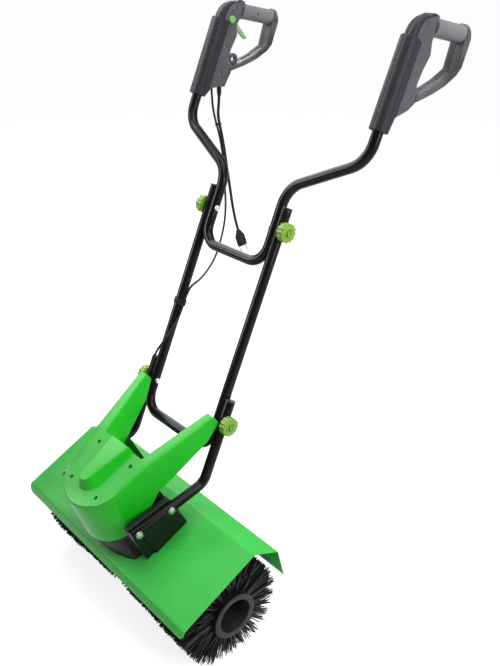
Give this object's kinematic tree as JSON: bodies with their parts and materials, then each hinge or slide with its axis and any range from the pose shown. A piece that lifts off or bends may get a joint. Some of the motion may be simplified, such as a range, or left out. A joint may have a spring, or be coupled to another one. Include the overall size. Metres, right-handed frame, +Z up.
{
  "type": "powered snow sweeper",
  "caption": "Walk-behind electric snow sweeper with two driven brush rollers under a bent sheet hood, a motor cover with arms, and a folding tube handle with D-shaped grips.",
  "frame": {"origin": "on the ground plane, below the centre of the overall box", "axes": "+X to the operator's right, +Y forward in the sweeping direction, +Z up"},
  "size_m": [0.618, 0.8022, 1.2469],
  "materials": {
    "hood_green": "gloss powder coat",
    "cover_green": "satin moulded",
    "knob_green": "moulded",
    "housing_black": "fine texture",
    "gear_case": "cast",
    "steel": "zinc plated",
    "wheel_bronze": "machined",
    "lamination": "laminated sheet",
    "copper": "machined copper",
    "carbon": "graphite",
    "inner_plastic": "moulded",
    "roller_black": "moulded",
    "bristle_black": "drawn filament",
    "tube_black": "gloss black paint",
    "cap_grey": "moulded",
    "grip_grey": "fine texture",
    "cord_black": "satin",
    "pin_metal": "nickel plated"
  },
  "bodies": {
    "base": {"hood": "hood_green", "gear_case_left": "gear_case", "gear_case_right": "gear_case", "shaft_bearings": "steel", "motor_bearings": "steel", "stator": "lamination", "end_cup": "steel", "carbon_brushes": "carbon", "brush_holders": "inner_plastic", "base_housing": "housing_black", "deck_bolts": "steel", "motor_cover": "cover_green", "cover_screws": "steel", "bracket_left": "tube_black", "bracket_right": "tube_black", "bracket_caps": "cap_grey", "bracket_bolts": "steel", "lower_joint_bolts": "steel", "motor_lead_lower": "cord_black"},
    "brush_rollers": {"drive_shaft": "steel", "worm_wheel": "wheel_bronze", "roller_core_left": "roller_black", "roller_core_right": "roller_black", "hub_pins": "steel", "bristles_left": "bristle_black", "bristles_right": "bristle_black"},
    "armature": {"armature_shaft": "steel", "worm": "steel", "armature_core": "lamination", "commutator": "copper", "fan": "inner_plastic"},
    "lower_handle": {"mid_handle": "tube_black", "mid_caps": "cap_grey", "upper_joint_bolts": "steel", "cable_clip": "cord_black"},
    "upper_handle": {"upper_handle": "tube_black", "grip_left_outer": "grip_grey", "grip_left_inner": "grip_grey", "grip_right_outer": "grip_grey", "grip_right_inner": "grip_grey", "grip_screws_left": "steel", "grip_screws_right": "steel", "switch": "inner_plastic", "trigger_pin": "steel", "cord_hook": "grip_grey", "strain_relief": "cord_black", "cable_tie": "cord_black", "motor_lead_upper": "cord_black", "mains_lead": "cord_black", "plug": "cord_black", "plug_pins": "pin_metal"},
    "trigger": {"trigger": "knob_green"},
    "lock_button": {"lock_button": "knob_green"},
    "lower_knob_left": {"lower_knob_left": "knob_green"},
    "lower_knob_right": {"lower_knob_right": "knob_green"},
    "upper_knob_left": {"upper_knob_left": "knob_green"},
    "upper_knob_right": {"upper_knob_right": "knob_green"}
  },
  "joints": [
    {"name": "brush_spin", "type": "hinge", "parent": "base", "child": "brush_rollers", "pos_m": [0, 0.20612, 0.11376], "axis": [1, 0, 0], "continuous": true},
    {"name": "armature_spin", "type": "hinge", "parent": "base", "child": "armature", "pos_m": [0, 0.23315, 0.10075], "axis": [0, 0.4337, 0.9011], "continuous": true},
    {"name": "lower_fold", "type": "hinge", "parent": "base", "child": "lower_handle", "pos_m": [0, 0.10064, 0.46417], "axis": [-1, 0, 0], "range_deg": [-15, 40], "deforming": ["motor_lead_lower"]},
    {"name": "upper_fold", "type": "hinge", "parent": "lower_handle", "child": "upper_handle", "pos_m": [0, -0.06972, 0.84149], "axis": [-1, 0, 0], "range_deg": [0, 150], "deforming": ["motor_lead_upper"]},
    {"name": "trigger_pull", "type": "hinge", "parent": "upper_handle", "child": "trigger", "pos_m": [0.27, -0.27267, 1.19861], "axis": [-1, 0, 0], "range_deg": [0, 14], "stiffness_Nm_per_rad": 0.4, "springref_deg": -8.59},
    {"name": "lock_press", "type": "slide", "parent": "upper_handle", "child": "lock_button", "axis": [1, 0, 0], "range_m": [0, 0.003], "stiffness_N_per_m": 400, "springref_m": -0.001},
    {"name": "lower_knob_left_turn", "type": "hinge", "parent": "base", "child": "lower_knob_left", "pos_m": [0, 0.10064, 0.46417], "axis": [1, 0, 0], "continuous": true},
    {"name": "lower_knob_right_turn", "type": "hinge", "parent": "base", "child": "lower_knob_right", "pos_m": [0, 0.10064, 0.46417], "axis": [1, 0, 0], "continuous": true},
    {"name": "upper_knob_left_turn", "type": "hinge", "parent": "lower_handle", "child": "upper_knob_left", "pos_m": [0, -0.06972, 0.84149], "axis": [1, 0, 0], "continuous": true},
    {"name": "upper_knob_right_turn", "type": "hinge", "parent": "lower_handle", "child": "upper_knob_right", "pos_m": [0, -0.06972, 0.84149], "axis": [1, 0, 0], "continuous": true}
  ],
  "couplings": [
    {"joint": "armature_spin", "follows": "brush_spin", "ratio": -22}
  ]
}
